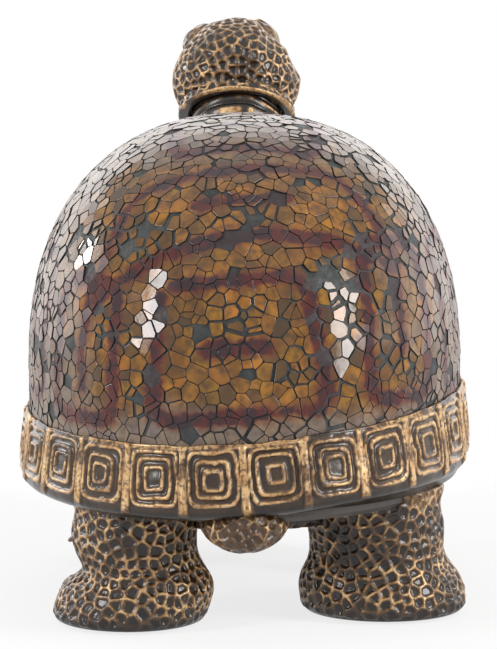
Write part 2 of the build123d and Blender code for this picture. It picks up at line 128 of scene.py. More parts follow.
# Line of the neck from the chest to the skull: distance before the shell's axis, height
NECK_LINE = [(84, 35), (111.5, 35), (139, 46), (154.3, 70.7), (158.4, 104.7), (155.4, 147.2), (150.9, 176.1),
             (151.5, 195.2), (158.4, 205)]
NECK_RADIUS = 21.5 * MM
NECK_TOP = Vector((-4.0 * MM, SHELL_Y + 158.4 * MM, 205 * MM))
NECK_LEAN = math.radians(35)
FOLD_PITCH = 5.2 * MM

# Head
HEAD_BACK = SHELL_Y + 143.4 * MM
HEAD_LENGTH = 80 * MM
HEAD_AXIS_Z = 219 * MM
HOOD_DEPTH = 8.5 * MM                 # hood of skin back along the neck
HOOD_BEND = 2.0 * MM                  # from here it is drawn up, as far as its edge
HOOD_EDGE = 4.2 * MM


# Number helpers

def smooth(value, low, high):
    """Eased step from 0 at low to 1 at high."""
    share = np.clip((value - low) / (high - low), 0, 1)
    return share * share * (3 - 2 * share)


def noise(points, size, seed):
    """Smooth seeded noise from -1 to 1, with features of a size in metres."""
    side = 32
    table = np.random.default_rng(seed).uniform(-1, 1, (side, side, side))
    grid = points / size
    base = np.floor(grid).astype(int)
    ease = smooth(grid - base, 0, 1)
    total = np.zeros(len(points))
    for corner in product((0, 1), repeat=3):
        weight = np.prod(np.where(corner, ease, 1 - ease), axis=1)
        cell = (base + corner) % side
        total += weight * table[cell[:, 0], cell[:, 1], cell[:, 2]]
    return total


def unit(vectors):
    """Vectors scaled to length one."""
    return vectors / np.maximum(np.linalg.norm(vectors, axis=-1, keepdims=True), 1e-12)


# Mesh helpers

def new_piece(name, mesh, material, node):
    """An object for a mesh that rides on the body and stands for a node of the frame."""
    mesh.materials.clear()
    mesh.materials.append(material)
    piece = bpy.data.objects.new(name, mesh)
    scene.collection.objects.link(piece)
    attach(piece, "root")
    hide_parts(node)
    return piece


def store(mesh, name, values):
    """Stores one number per vertex for the material."""
    attribute = mesh.attributes.new(name, "FLOAT", "POINT")
    attribute.data.foreach_set("value", np.asarray(values, np.float32))


def grid_mesh(name, points, closed_rows):
    """A mesh of quads from a grid of points (rows, columns, 3) that closes around its columns."""
    rows, columns = points.shape[:2]
    number = np.arange(rows * columns).reshape(rows, columns)
    upper = np.roll(number, -1, axis=0) if closed_rows else number[1:]
    lower = number if closed_rows else number[:-1]
    quads = np.stack([lower, np.roll(lower, -1, axis=1), np.roll(upper, -1, axis=1), upper], axis=-1)
    mesh = bpy.data.meshes.new(name)
    mesh.from_pydata(points.reshape(-1, 3).tolist(), [], quads.reshape(-1, 4).tolist())
    mesh.polygons.foreach_set("use_smooth", np.ones(len(mesh.polygons), bool))
    return mesh


def even_mesh(node, cell):
    """A copy of a node's mesh, rebuilt in small even quads."""
    work = bmesh.new()
    work.from_mesh(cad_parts[node].data)
    bmesh.ops.remove_doubles(work, verts=work.verts, dist=0.001 * MM)
    rough = bpy.data.meshes.new(node + "_rough")
    work.to_mesh(rough)
    work.free()
    carrier = bpy.data.objects.new(node + "_carrier", rough)
    scene.collection.objects.link(carrier)
    modifier = carrier.modifiers.new("even", "REMESH")
    modifier.mode = "VOXEL"
    modifier.voxel_size = cell
    depsgraph = bpy.context.evaluated_depsgraph_get()
    mesh = bpy.data.meshes.new_from_object(carrier.evaluated_get(depsgraph))
    bpy.data.objects.remove(carrier)
    bpy.data.meshes.remove(rough)
    return mesh


def read(mesh):
    """Vertex places and edges of a mesh."""
    points = np.zeros(len(mesh.vertices) * 3)
    mesh.vertices.foreach_get("co", points)
    edges = np.zeros(len(mesh.edges) * 2, int)
    mesh.edges.foreach_get("vertices", edges)
    return points.reshape(-1, 3), edges.reshape(-1, 2)


def relaxed(values, edges, rounds):
    """Values at the vertices, averaged with their neighbours."""
    count = np.maximum(np.bincount(edges.ravel(), minlength=len(values)), 1)[:, None]
    for _ in range(rounds):
        total = np.zeros_like(values)
        np.add.at(total, edges[:, 0], values[edges[:, 1]])
        np.add.at(total, edges[:, 1], values[edges[:, 0]])
        values = (values + total / count) / 2
    return values


def place(mesh, points):
    """Moves a mesh's vertices to points."""
    mesh.vertices.foreach_set("co", points.ravel())
    mesh.update()


def vertex_normals(mesh):
    """Outward normals at the vertices."""
    normals = np.zeros(len(mesh.vertices) * 3)
    mesh.vertex_normals.foreach_get("vector", normals)
    return normals.reshape(-1, 3)


def tree_of(points):
    """A search tree of points."""
    tree = KDTree(len(points))
    for number, point in enumerate(points):
        tree.insert(point, number)
    tree.balance()
    return tree


def spread_out(points, spreads):
    """Those of the points that keep clear of the earlier ones, each by its own spread."""
    tree = tree_of(points)
    taken = np.zeros(len(points), bool)
    kept = []
    for number, spread in enumerate(spreads):
        if taken[number]:
            continue
        kept.append(number)
        for _, near, _ in tree.find_range(points[number], spread):
            taken[near] = True
    return points[kept]


def scale_cells(points, pitch, seed):
    """Distance of every point to the rounded edge of its scale, and a random number for the scale.

    The scales are the cells around points of the surface that keep a least distance."""
    chance = np.random.default_rng(seed)
    mixed = points[chance.permutation(len(points))]
    middles = spread_out(mixed, pitch * chance.uniform(0.85, 1.2, len(points)))
    cells = tree_of(middles)
    nearest = np.array([[hit[1] for hit in cells.find_n(point, 5)] for point in points])
    first = middles[nearest[:, 0]]
    rounding = 0.09 * pitch
    closeness = np.zeros(len(points))
    for place in range(1, 5):
        other = middles[nearest[:, place]]
        gap = (((first + other) / 2 - points) * unit(other - first)).sum(axis=1)
        closeness += np.exp(-gap / rounding)
    return -rounding * np.log(closeness), chance.uniform(0, 1, len(middles))[nearest[:, 0]]


# Materials

def add_node(tree, kind, inputs=None, **settings):
    """A new shader node with its settings, and its inputs set or linked by name or number."""
    node = tree.nodes.new("ShaderNode" + kind)
    for key, value in settings.items():
        setattr(node, key, value)
    for key, value in (inputs or {}).items():
        if isinstance(value, bpy.types.NodeSocket):
            tree.links.new(value, node.inputs[key])
        else:
            node.inputs[key].default_value = value
    return node


def new_material(name, **values):
    """A principled material with its constant values; returns it, its node tree and its shader."""
    material = bpy.data.materials.new(name)
    material.use_nodes = True
    tree = material.node_tree
    shader = tree.nodes["Principled BSDF"]
    for key, value in values.items():
        shader.inputs[key.replace("_", " ")].default_value = value
    return material, tree, shader


def stored(tree, name):
    """A number stored at the vertices."""
    return add_node(tree, "Attribute", attribute_name=name).outputs["Fac"]


def grain(tree, scale, detail=4.0, stretch=(1, 1, 1)):
    """Noise over the object, as a number from 0 to 1; the scale is in features per metre."""
    place_node = add_node(tree, "TexCoord")
    stretched = add_node(tree, "Mapping", {"Vector": place_node.outputs["Object"], "Scale": stretch})
    return add_node(tree, "TexNoise", {
        "Vector": stretched.outputs["Vector"], "Scale": scale, "Detail": detail}).outputs["Fac"]


def span(tree, value, low, high, to_low=0.0, to_high=1.0):
    """A number carried from one range to another and kept inside it."""
    return add_node(tree, "MapRange", {
        "Value": value, "From Min": low, "From Max": high, "To Min": to_low,
        "To Max": to_high}).outputs["Result"]


def blend(tree, factor, first, second):
    """A colour between two."""
    node = add_node(tree, "Mix", {0: factor, 6: first, 7: second}, data_type="RGBA")
    return node.outputs[2]


def combine(tree, operation, first, second):
    """Two numbers put together."""
    return add_node(tree, "Math", {0: first, 1: second}, operation=operation, use_clamp=True).outputs[0]


def roughen(tree, shader, height, strength, distance):
    """Bump on a shader from a height."""
    bump = add_node(tree, "Bump", {"Height": height, "Strength": strength, "Distance": distance})
    tree.links.new(bump.outputs["Normal"], shader.inputs["Normal"])


def ring_factors(tree):
    """How wine red, and how rusty, the paint is by its distance from the middle of a painted ring."""
    ragged = span(tree, grain(tree, 260), 0.25, 0.75, -1.5, 1.5)
    soft = span(tree, grain(tree, 80), 0.25, 0.75, -1.6, 1.6)
    distance = add_node(tree, "Math", {0: stored(tree, "ring"), 1: ragged}, operation="ADD").outputs[0]
    distance = add_node(tree, "Math", {0: distance, 1: soft}, operation="ADD").outputs[0]
    return span(tree, distance, 2.0, 3.4, 1, 0), span(tree, distance, 2.4, 5.6, 1, 0)


def glass_material():
    """Glossy glass over amber paint with wine red rings, smoky towards the rim, and a pale lilac painted reflection on
    its flanks, shoulders and crown.
    """
    material, tree, shader = new_material("crackle_glass", IOR=1.46)
    amber = blend(tree, stored(tree, "hue"), (0.290, 0.138, 0.007, 1), (0.365, 0.134, 0.013, 1))
    amber = blend(tree, span(tree, grain(tree, 120), 0.38, 0.62, 0, 0.85), amber, (0.130, 0.048, 0.004, 1))
    amber = blend(tree, span(tree, stored(tree, "tone"), 0, 1, 0, 0.95), amber, (0.046, 0.027, 0.014, 1))
    cloud = span(tree, grain(tree, 300, 5.0), 0.46, 0.68, 0.0, 0.75)
    amber = blend(tree, cloud, amber, (0.060, 0.031, 0.011, 1))
    # Pale lilac: real smoky paint near the rim, and a painted reflection of the bright surroundings on the flanks,
    # shoulders and crown
    lilac = blend(tree, stored(tree, "hue"), (0.130, 0.100, 0.100, 1), (0.20, 0.155, 0.105, 1))
    smoke_and_sheen = blend(tree, cloud, lilac, (0.085, 0.062, 0.050, 1))
    paint = blend(tree, stored(tree, "smoke_and_sheen"), amber, smoke_and_sheen)
    wine, rust = ring_factors(tree)
    paint = blend(tree, combine(tree, "MULTIPLY", rust, 0.8), paint, (0.13, 0.030, 0.010, 1))
    purple = blend(tree, span(tree, grain(tree, 130), 0.42, 0.58), (0.022, 0.007, 0.013, 1), (0.075, 0.008, 0.006, 1))
    paint = blend(tree, combine(tree, "MULTIPLY", wine, 0.94), paint, purple)
    # The sides of each shard and the outer part of its bevel are darkened to the grout's colour. This is partly the
    # dark joint and partly painted shade in the cracks.
    edge = stored(tree, "edge")
    tree.links.new(blend(tree, edge, paint, (0.016, 0.013, 0.010, 1)), shader.inputs["Base Color"])
    gloss = combine(tree, "ADD", span(tree, grain(tree, 160), 0.3, 0.7, 0.05, 0.12), span(tree, edge, 0, 1, 0, 0.6))
    hazy = span(tree, stored(tree, "smoke_and_sheen"), 0, 1, 0, 0.30)
    tree.links.new(combine(tree, "ADD", gloss, hazy), shader.inputs["Roughness"])
    roughen(tree, shader, grain(tree, 190, 2.0), 0.05, 0.4 * MM)
    return material


def grout_material():
    """Dark grey grout, matt and grainy, tinged where the rings are painted."""
    material, tree, shader = new_material("grout", IOR=1.42)
    colour = blend(tree, span(tree, grain(tree, 300), 0.3, 0.7), (0.017, 0.019, 0.019, 1), (0.045, 0.048, 0.047, 1))
    wine, rust = ring_factors(tree)
    colour = blend(tree, combine(tree, "MULTIPLY", rust, 0.75), colour, (0.030, 0.014, 0.017, 1))
    tree.links.new(colour, shader.inputs["Base Color"])
    tree.links.new(span(tree, grain(tree, 500), 0.3, 0.7, 0.45, 0.75), shader.inputs["Roughness"])
    roughen(tree, shader, grain(tree, 1400), 0.5, 0.3 * MM)
    return material


def bronze_material():
    """Black brown resin, with gold rubbed over whatever stands proud."""
    material, tree, shader = new_material("bronze_resin", IOR=1.44, Coat_Weight=0.12, Coat_Roughness=0.10)
    dark = blend(tree, span(tree, grain(tree, 90), 0.35, 0.65), (0.008, 0.007, 0.0065, 1), (0.024, 0.015, 0.010, 1))
    brown = blend(tree, span(tree, grain(tree, 120), 0.35, 0.65), (0.085, 0.038, 0.012, 1), (0.145, 0.076, 0.028, 1))
    bright = blend(tree, span(tree, grain(tree, 140), 0.35, 0.65), (0.42, 0.23, 0.095, 1), (0.66, 0.44, 0.22, 1))
    streak = span(tree, grain(tree, 620, 5.0), 0.34, 0.54, 0.45, 1.0)
    gold = combine(tree, "MULTIPLY", stored(tree, "gold"), streak)
    colour = blend(tree, span(tree, gold, 0.0, 0.45), dark, brown)
    tree.links.new(blend(tree, span(tree, gold, 0.42, 0.9), colour, bright), shader.inputs["Base Color"])
    tree.links.new(span(tree, gold, 0.4, 1, 0.0, 0.30), shader.inputs["Metallic"])
    tree.links.new(span(tree, gold, 0, 1, 0.25, 0.42), shader.inputs["Roughness"])
    roughen(tree, shader, grain(tree, 1100), 0.22, 0.25 * MM)
    return material


def plain_material(name, low, high, scale, roughness, bump, stretch=(1, 1, 1), **values):
    """A material whose colour, gloss and surface vary with one grain."""
    material, tree, shader = new_material(name, **values)
    fibres = grain(tree, scale, 6.0, stretch)
    tree.links.new(blend(tree, span(tree, fibres, 0.3, 0.7), (*low, 1), (*high, 1)), shader.inputs["Base Color"])
    tree.links.new(span(tree, fibres, 0.3, 0.7, *roughness), shader.inputs["Roughness"])
    roughen(tree, shader, fibres, bump, 0.3 * MM)
    return material


def eye_material():
    """Dark polished bead, with a brown iris round a black pupil."""
    material, tree, shader = new_material("eye_glass", IOR=1.5, Coat_Weight=0.6, Coat_Roughness=0.03)
    rays = span(tree, grain(tree, 900), 0.3, 0.7)
    iris = blend(tree, rays, (0.055, 0.020, 0.006, 1), (0.16, 0.065, 0.018, 1))
    outward = add_node(tree, "Math", {0: add_node(tree, "SeparateXYZ", {
        0: add_node(tree, "NewGeometry").outputs["Normal"]}).outputs["X"]}, operation="ABSOLUTE").outputs[0]
    ring = span(tree, outward, 0.80, 0.86)
    pupil = span(tree, outward, 0.945, 0.965)
    colour = blend(tree, ring, (0.012, 0.008, 0.006, 1), iris)
    tree.links.new(blend(tree, pupil, colour, (0.003, 0.003, 0.003, 1)), shader.inputs["Base Color"])
    tree.links.new(span(tree, rays, 0, 1, 0.05, 0.10), shader.inputs["Roughness"])
    return material


# Dome

def dome_field(points, depth):
    """The dome's formula at points, which is 1 a depth below the outside of the glass, and its slope."""
    width = DOME_HALF_WIDTH - depth
    rise = DOME_RISE - depth
    across = points[:, 0]
    along = (points[:, 1] - SHELL_Y) / PLAN_RATIO
    up = np.maximum(points[:, 2] - WIDEST_Z, 0)
    radius = np.maximum(np.hypot(across, along), 0.01 * MM)
    value = (radius / width) ** DOME_POWER + (up / rise) ** DOME_POWER
    flank = DOME_POWER * (radius / width) ** (DOME_POWER - 1) / (width * radius)
    top = DOME_POWER * (up / rise) ** (DOME_POWER - 1) / rise
    return value, np.stack([flank * across, flank * along / PLAN_RATIO, top], axis=1)


def on_dome(points, depth):
    """Points carried along the slope to the surface a depth below the outside of the glass."""
    for _ in range(4):
        value, slope = dome_field(points, depth)
        points = points - slope * ((value - 1) / (slope ** 2).sum(axis=1))[:, None]
    return points


def dome_normals(points):
    """Outward normals of the dome near points."""
    return unit(dome_field(points, 0)[1])


def dome_spot(turn, height):
    """A point of the dome at a turn from the tail, in degrees, and a height."""
    up = max(height - WIDEST_Z, 0) / DOME_RISE
    radius = DOME_HALF_WIDTH * (1 - min(up, 1) ** DOME_POWER) ** (1 / DOME_POWER)
    angle = math.radians(turn)
    return np.array([radius * math.sin(angle), SHELL_Y - radius * math.cos(angle) * PLAN_RATIO, height])


def ring_distance(points):
    """Distance in millimetres from points to the nearest painted ring, or bar in the middle of a ring."""
    nearest = np.full(len(points), 20.0)
    for turn, height, half_width, half_height, taper, lean, bar in RINGS.values():
        middle = dome_spot(turn, height * MM)
        out = dome_normals(middle[None])[0]
        side = np.array([math.cos(math.radians(turn)), math.sin(math.radians(turn)), 0])
        up = unit(np.cross(out, side) * (1 if np.cross(out, side)[2] >= 0 else -1))
        if abs(up[2]) < 0.1:
            up = np.array([0, 1, 0])
        slant = math.radians(lean)
        offset = points - middle
        across = offset @ (side * math.cos(slant) + up * math.sin(slant)) / MM
        along = offset @ (up * math.cos(slant) - side * math.sin(slant)) / MM
        gap_across = np.abs(across) - half_width * (1 - taper * along / half_height) + RING_CORNER
        gap_along = np.abs(along) - half_height + RING_CORNER
        outside = np.hypot(np.maximum(gap_across, 0), np.maximum(gap_along, 0))
        ring = np.abs(outside + np.minimum(np.maximum(gap_across, gap_along), 0) - RING_CORNER)
        dash = np.hypot(np.maximum(np.abs(across) - bar[0], 0), np.maximum(np.abs(along) - bar[1], 0))
        facing = dome_normals(points) @ out > 0.25
        nearest = np.where(facing, np.minimum(nearest, np.minimum(ring, dash)), nearest)
    return nearest


def cut_back(outline, direction, limit):
    """The part of a convex outline whose reach along a direction stays within the limit."""
    kept = []
    for here, there in zip(outline, outline[1:] + outline[:1]):
        reach_here = here @ direction - limit
        reach_there = there @ direction - limit
        if reach_here <= 0:
            kept.append(here)
        if reach_here * reach_there < 0:
            kept.append(here + (there - here) * reach_here / (reach_here - reach_there))
    return kept


def area_of(corners):
    """Area of an outline."""
    after = np.roll(corners, -1, axis=0)
    return abs((corners[:, 0] * after[:, 1] - corners[:, 1] * after[:, 0]).sum()) / 2


def dome_profile(count, depth):
    """Radius and height along the dome from the ledge to the crown, evenly spaced."""
    swing = np.linspace(0, math.pi / 2, 400)
    radius = np.append(1, np.cos(swing) ** (2 / DOME_POWER)) * (DOME_HALF_WIDTH - depth)
    height = np.append(LEDGE_Z, WIDEST_Z + np.sin(swing) ** (2 / DOME_POWER) * (DOME_RISE - depth))
    travel = np.append(0, np.cumsum(np.hypot(np.diff(radius), np.diff(height))))
    even = np.linspace(0, travel[-1], count)
    return np.interp(even, travel, radius), np.interp(even, travel, height)


def on_oval(radius, turn, height):
    """Points of the shell at a radius across, a turn around the shell's axis and a height."""
    return np.stack(np.broadcast_arrays(
        radius * np.cos(turn), SHELL_Y + radius * np.sin(turn) * PLAN_RATIO, height), axis=-1)


def glass_middles(node):
    """Middle of every piece of glass of a node, from the connected parts of its mesh."""
    work = bmesh.new()
    work.from_mesh(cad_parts[node].data)
    bmesh.ops.remove_doubles(work, verts=work.verts, dist=0.001 * MM)
    left = set(work.verts)
    middles = []
    for first in work.verts:
        if first not in left:
            continue
        left.remove(first)
        island, front = [], [first]
        while front:
            vertex = front.pop()
            island.append(vertex.co[:])
            near = {link.other_vert(vertex) for link in vertex.link_edges} & left
            left -= near
            front.extend(near)
        middles.append(np.mean(island, axis=0))
    work.free()
    return middles


def dome_points(count, chance):
    """Random points, evenly spread over the dome."""
    radius, height = dome_profile(2000, 0)
    row = chance.choice(len(radius), count, p=radius / radius.sum())
    return on_oval(radius[row], chance.uniform(0, 2 * math.pi, count), height[row])


def shard_outlines(middles, chance):
    """The outline of the shard around every middle, on a plane with two directions across."""
    tree = tree_of(middles)
    chunk_tree = tree_of(spread_out(middles, CHUNK_PITCH * chance.uniform(0.4, 1.5, len(middles))))
    chunk = np.array([chunk_tree.find(middle)[1] for middle in middles])
    chunk_looseness = chance.uniform(0, 1, len(middles))[chunk]
    looseness = chance.uniform(0.2, 1, len(middles))
    slack = smooth(noise(middles, 13 * MM, 17), -0.1, 0.7) * chance.uniform(0.3, 1, len(middles))
    weight = (SHARD_PITCH * chance.uniform(0, 0.62, len(middles))) ** 2
    square = [np.array(corner) * 4 * SHARD_PITCH for corner in ((-1, -1), (1, -1), (1, 1), (-1, 1))]
    for number, (middle, out) in enumerate(zip(middles, dome_normals(middles))):
        across = unit(np.cross((0, 0, 1), out) + (1e-6, 0, 0))
        along = np.cross(out, across)
        outline = square
        for spot, other, _ in tree.find_n(middle, 18)[1:]:
            offset = np.array(spot) - middle
            way = np.array([offset @ across, offset @ along])
            length = np.linalg.norm(way)
            gap = CRACK * looseness[number] + CRACK * looseness[other] + SLACK * slack[number] * slack[other]
            if chunk[number] != chunk[other]:
                gap += JOINT * chunk_looseness[number] * chunk_looseness[other] * looseness[number]
            share = (weight[number] - weight[other]) / length
            outline = cut_back(outline, way / length, (length - gap + share) / 2)
        down = np.array([-across[2], -along[2]])
        fall = max(np.linalg.norm(down), 1e-6)
        outline = cut_back(outline, down / fall, (middle[2] - LEDGE_Z - CRACK) / fall)
        yield out, across, along, rounded(outline, chance.uniform(0.03, 0.16))


def rounded(outline, share):
    """An outline with a share of its sides cut off at every corner."""
    corners = np.array(outline)
    if len(corners) < 3:
        return corners
    onward = np.roll(corners, -1, axis=0)
    return np.stack([corners + share * (onward - corners), onward + share * (corners - onward)], axis=1).reshape(-1, 2)


def shard_mesh(name, shards, chance):
    """A mesh of shards, bevelled and each a little tilted on the dome, with what the glass needs stored."""
    points, faces, tones, hues, edges = [], [], [], [], []
    for middle, out, across, along, flat in shards:
        count = len(flat)
        centre = flat.mean(axis=0)
        inner = centre + (flat - centre) * max(0.4, 1 - 2.2 * SHARD_BEVEL / math.sqrt(area_of(flat)))
        both = np.concatenate([centre[None], (centre + inner) / 2, inner, flat])
        tilt = np.clip(chance.normal(0, SHARD_TILT, 2), -2.2 * SHARD_TILT, 2.2 * SHARD_TILT)
        lift = both @ tilt - chance.uniform(0, SHARD_SINK)
        spots = middle + both[:, :1] * across + both[:, 1:] * along + lift[:, None] * out
        edge = spots[-count:] - SHARD_BEVEL_DROP * out
        start = len(points)
        points.extend(np.concatenate([spots[:-count], edge, edge - SHARD_DEPTH * out]))
        tones.extend([chance.uniform() ** 1.6] * (4 * count + 1))
        hues.extend([chance.uniform()] * (4 * count + 1))
        # edge is 1 on the outer rim of the top and on the sides, which the glass material paints dark as shade in the
        # cracks
        edges.extend([0] * (2 * count + 1) + [1] * (2 * count))
        for here in range(count):
            there = (here + 1) % count
            rings = [start + 1 + level * count for level in range(4)]
            faces.append((start, rings[0] + here, rings[0] + there))
            for upper, lower in zip(rings, rings[1:]):
                faces.append((upper + here, lower + here, lower + there, upper + there))
        faces.append(tuple(start + 1 + 3 * count + here for here in reversed(range(count))))
    points = np.array(points)
    mesh = bpy.data.meshes.new(name)
    mesh.from_pydata(points.tolist(), [], faces)
    # The low edge is real smoky glass. The patches on the sides, the flanks, the crown and the shoulders near the
    # outline seen from behind are a painted reflection of the bright surroundings.
    low_edge = 1 - smooth(points[:, 2] - LEDGE_Z + 8 * MM * noise(points, 16 * MM, 13), 7 * MM, 22 * MM)
    sheen_patches = 0.5 * smooth(noise(points, 26 * MM, 14), 0.45, 0.8) * smooth(np.abs(points[:, 0]), 30 * MM, 60 * MM)
    flank = smooth(np.abs(points[:, 0]) + 9 * MM * noise(points, 20 * MM, 16), 66 * MM, 84 * MM)
    store(mesh, "tone", tones)
    store(mesh, "hue", hues)
    store(mesh, "edge", edges)
    store(mesh, "ring", ring_distance(points))
    crown = 0.7 * smooth(points[:, 2] + 5 * MM * noise(points, 20 * MM, 18), 190 * MM, 206 * MM)
    up = np.maximum(points[:, 2] - WIDEST_Z, 0) / DOME_RISE
    outline = (np.abs(points[:, 0]) / DOME_HALF_WIDTH) ** DOME_POWER + up ** DOME_POWER
    shoulder = 0.75 * smooth(outline + 0.06 * noise(points, 20 * MM, 19), 0.74, 0.95)
    store(mesh, "smoke_and_sheen", np.max([0.85 * low_edge, sheen_patches, 0.8 * flank, crown, shoulder], axis=0))
    return mesh


def glass_pieces(material):
    """The cracked glass, a piece for every scute; each shard belongs to the nearest piece of glass."""
    chance = np.random.default_rng(3)
    owners = [(node, middle) for node in RINGS for middle in glass_middles(node)]
    owner_tree = tree_of([middle for _, middle in owners])
    samples = dome_points(DOME_SAMPLES, chance)
    middles = spread_out(samples, SHARD_PITCH * chance.uniform(0.4, 1.65, len(samples)))
    lost = np.where(ring_distance(middles) < RING_HALF, LOST_IN_RINGS, LOST_SHARDS)
    shards = {node: [] for node in RINGS}
    for middle, chance_lost, (out, across, along, outline) in zip(middles, lost, shard_outlines(middles, chance)):
        if len(outline) > 2 and chance.uniform() > chance_lost:
            node = owners[owner_tree.find(middle)[1]][0]
            shards[node].append((middle, out, across, along, outline))
    for node, members in shards.items():
        name = node + "_shards"
        new_piece(name, shard_mesh(name, members, chance), material, node)


def grout_piece(material):
    """The grout between the shards, a thin closed layer that nearly reaches the outside of the glass."""
    turn = np.linspace(0, 2 * math.pi, 420, endpoint=False)

    def layer(rows, depth):
        radius, height = dome_profile(rows, depth)
        radius[-1] = 0.05 * MM
        return on_oval(radius[:, None], turn, height[:, None])

    outer = layer(110, GROUT_DEPTH)
    flat = outer.reshape(-1, 3)
    rough = 0.25 * MM * noise(flat, 3 * MM, 21) + 0.2 * MM * noise(flat, 9 * MM, 22)
    outer = (flat + dome_normals(flat) * rough[:, None]).reshape(outer.shape)
    inner = layer(30, GLASS_RISE + 1.2 * MM)
    points = np.concatenate([outer, inner[::-1]])
    mesh = grid_mesh("grout_layer", points, closed_rows=True)
    store(mesh, "ring", ring_distance(points.reshape(-1, 3)))
    new_piece("grout_layer", mesh, material, "grout_bed")


# Rim

def rim_piece(material):
    """The ring of carved scutes: concentric ridges, bars between the scutes and a plain lower band."""
    turn = (np.arange(RIM_COLUMNS) + 0.5) * 2 * math.pi / RIM_COLUMNS - math.pi / 2
    pitch = 2 * math.pi / RIM_SCUTES
    scute = np.floor((turn + math.pi / 2) / pitch).astype(int)
    spot = ((turn + math.pi / 2) / pitch) % 1 * 2 - 1
    chance = np.random.default_rng(5)
    shift = chance.uniform(-0.09, 0.09, (RIM_SCUTES, 2))
    ring_shift = chance.uniform(-0.05, 0.05, (RIM_SCUTES, len(SCUTE_RINGS)))
    lean = chance.uniform(-0.04, 0.04, RIM_SCUTES) + 0.05 + 0.16 * np.sin((np.arange(RIM_SCUTES) + 0.5) * pitch)

    # Profile from the lip's inside over the top, down the face and round the underside
    lip_inside = RIM_FACE - RIM_LIP
    band = rim_low.z
    face_rows = np.linspace(rim_high.z - 1.4 * MM, SCUTE_LOW - 1.5 * MM, 44)
    profile = [(lip_inside, LEDGE_Z + 0.1 * MM), (lip_inside, rim_high.z - 1.2 * MM),
               (lip_inside + 0.5 * MM, rim_high.z - 0.3 * MM), (lip_inside + 1.2 * MM, rim_high.z),
               (RIM_FACE - 0.5 * MM, rim_high.z - 0.3 * MM)]
    profile += [(RIM_FACE, height) for height in face_rows]
    for step in range(1, 13):
        swing = step / 12 * math.pi / 2
        depth = face_rows[-1] - band
        profile.append((RIM_FACE - 5.5 * MM * (1 - math.cos(swing)), face_rows[-1] - depth * math.sin(swing)))
    profile += [(RIM_INNER + 5 * MM, band), (RIM_INNER, band), (RIM_INNER, LEDGE_Z), (RIM_FACE - 8 * MM, LEDGE_Z)]
    radius, height = np.array(profile).T

    lift = RIM_LIFT_RIGHT * np.maximum(np.cos(turn), 0) ** 1.3
    lift = lift + RIM_LIFT_LEFT * smooth(-np.cos(turn - 0.45), 0.15, 0.95)
    drop = RIM_DROP_LEFT * smooth(-np.cos(turn - 0.5), 0.0, 0.9) + RIM_DROP_RIGHT * smooth(np.cos(turn), 0.2, 0.9)
    on_outside = radius > lip_inside - MM
    climb = smooth(height, band, rim_high.z) * on_outside
    hang = (1 - smooth(height, band, rim_high.z)) * on_outside
    tall = height[:, None] + climb[:, None] * lift[None, :] - hang[:, None] * drop[None, :]
    slant = RIM_SLANT * smooth(height, SCUTE_LOW, rim_high.z) * (radius > RIM_FACE - 1.5 * MM)
    wide = np.broadcast_to((radius - slant)[:, None], tall.shape).copy()

    ring = np.stack([wide * np.cos(turn), wide * np.sin(turn) * PLAN_RATIO, tall], axis=-1)
    flat = ring.reshape(-1, 3)
    waver = (noise(flat, 7 * MM, 31) + 0.5 * noise(flat, 3 * MM, 32)).reshape(tall.shape)
    middle, half = (SCUTE_LOW + SCUTE_HIGH) / 2, (SCUTE_HIGH - SCUTE_LOW) / 2
    upward = (height[:, None] - middle) / half
    sideways = spot[None, :] / (1 - SCUTE_BAR) + lean[scute][None, :] * upward
    centre = np.clip(1 - np.maximum(np.abs(sideways), np.abs(upward)), 0, 1)
    place_x = np.abs(sideways - shift[scute, 0][None, :] * centre)
    place_y = np.abs(upward - shift[scute, 1][None, :] * centre)
    reach = (place_x ** 6 + place_y ** 6) ** (1 / 6) + 0.05 * waver
    carved = np.zeros_like(reach)
    for number, ridge in enumerate(SCUTE_RINGS):
        breadth = (0.080 - 0.005 * number) * (1 + 0.3 * waver)
        place_of = ridge + ring_shift[scute, number][None, :] * (number > 0)
        carved = np.maximum(carved, 1 - smooth(np.abs(reach - place_of) / breadth, 0.3, 1.4))
    bar = smooth(np.abs(sideways), 1.02, 1.08) * (0.72 + 0.28 * smooth(np.abs(np.abs(spot[None, :]) - 0.95), 0.0, 0.03))
    on_face = smooth(height, SCUTE_LOW - 3.5 * MM, SCUTE_LOW - 0.5 * MM)[:, None]
    outer = (radius >= RIM_FACE - 5.4 * MM)[:, None] & (height[:, None] > band + 0.2 * MM)
    outer = outer & (np.arange(len(profile)) > 3)[:, None]
    scute_height = carved * on_face * (reach < 1.03)
    bar_height = bar * smooth(height, band + 1.5 * MM, band + 5 * MM)[:, None]
    swell = np.maximum(scute_height, 0.9 * bar_height)
    dish = 0.5 * MM * (1 - smooth(reach, 0.2, 1.0)) * on_face
    raise_by = (RIDGE_HEIGHT * swell + dish + 0.18 * MM * waver) * outer
    lump = np.exp(-((np.abs(turn + math.pi / 2))[None, :] * 100 / 3.2) ** 2
                  - ((height[:, None] - band - 4.5 * MM) / (3.2 * MM)) ** 2)
    raise_by = np.minimum(raise_by + 1.2 * MM * lump * outer, RIM_PROUD + 1.2 * MM * lump)
    wide = wide + raise_by
    lip = smooth(height, rim_high.z - 2.6 * MM, rim_high.z - 1.0 * MM)[:, None] * (radius > lip_inside - 1e-5)[:, None]
    tall = tall + 0.55 * MM * waver * lip
    points = np.stack([wide * np.cos(turn), SHELL_Y + wide * np.sin(turn) * PLAN_RATIO, tall], axis=-1)
    mesh = grid_mesh("rim_carving", points[::-1], closed_rows=True)

